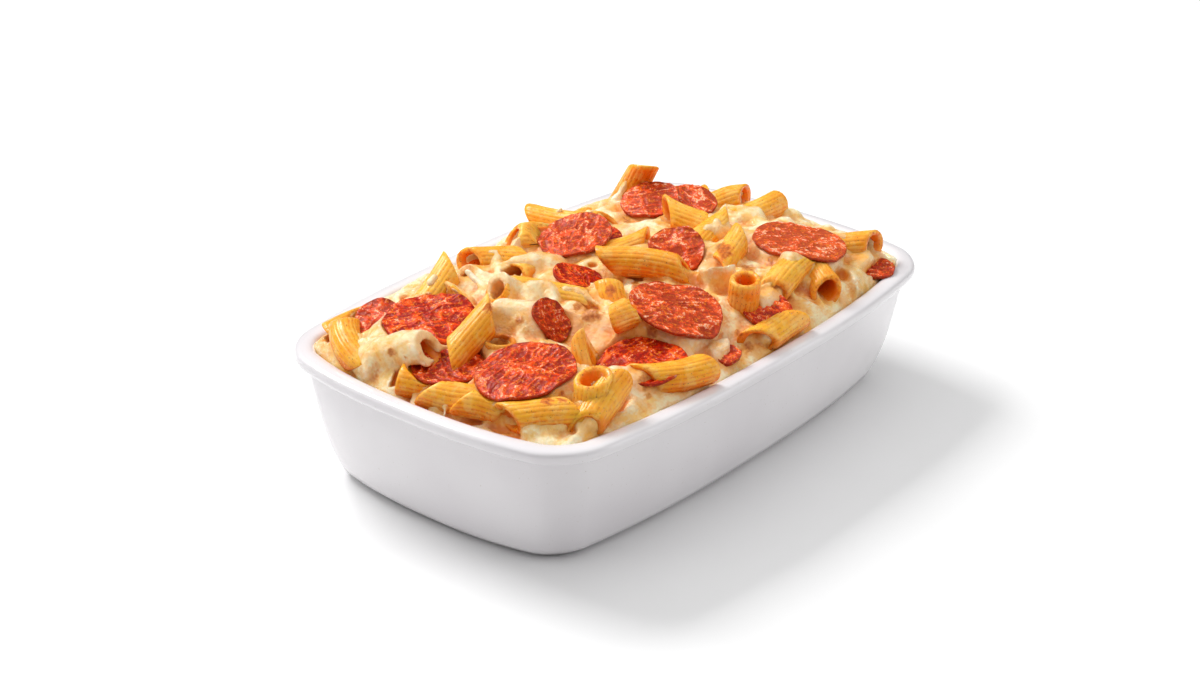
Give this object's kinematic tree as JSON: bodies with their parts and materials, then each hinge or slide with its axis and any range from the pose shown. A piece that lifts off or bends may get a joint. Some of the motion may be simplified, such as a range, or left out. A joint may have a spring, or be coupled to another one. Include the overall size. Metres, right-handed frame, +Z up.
{
  "type": "baked pasta in a ceramic dish",
  "caption": "Oblong white glazed oven dish heaped with penne baked under melted cheese, with pepperoni slices on top.",
  "frame": {"origin": "middle of the dish's flat underside", "axes": "+Z up, +X along the dish's length, +Y across its width, away from the side that faces the viewer"},
  "size_m": [0.2428, 0.158, 0.0808],
  "materials": {
    "glaze": "glossy white glaze",
    "pasta": "golden cooked pasta under glossy melted cheese with browned spots",
    "pepperoni": "oily, mottled dark red"
  },
  "bodies": {
    "root": {"dish": "glaze", "pasta_heap": "pasta", "pepperoni_01": "pepperoni", "pepperoni_02": "pepperoni", "pepperoni_03": "pepperoni", "pepperoni_04": "pepperoni", "pepperoni_05": "pepperoni", "pepperoni_06": "pepperoni", "pepperoni_07": "pepperoni", "pepperoni_08": "pepperoni", "pepperoni_09": "pepperoni", "pepperoni_10": "pepperoni", "pepperoni_11": "pepperoni", "pepperoni_12": "pepperoni", "pepperoni_13": "pepperoni", "pepperoni_14": "pepperoni", "pepperoni_15": "pepperoni", "pepperoni_16": "pepperoni", "pepperoni_17": "pepperoni"}
  },
  "joints": []
}
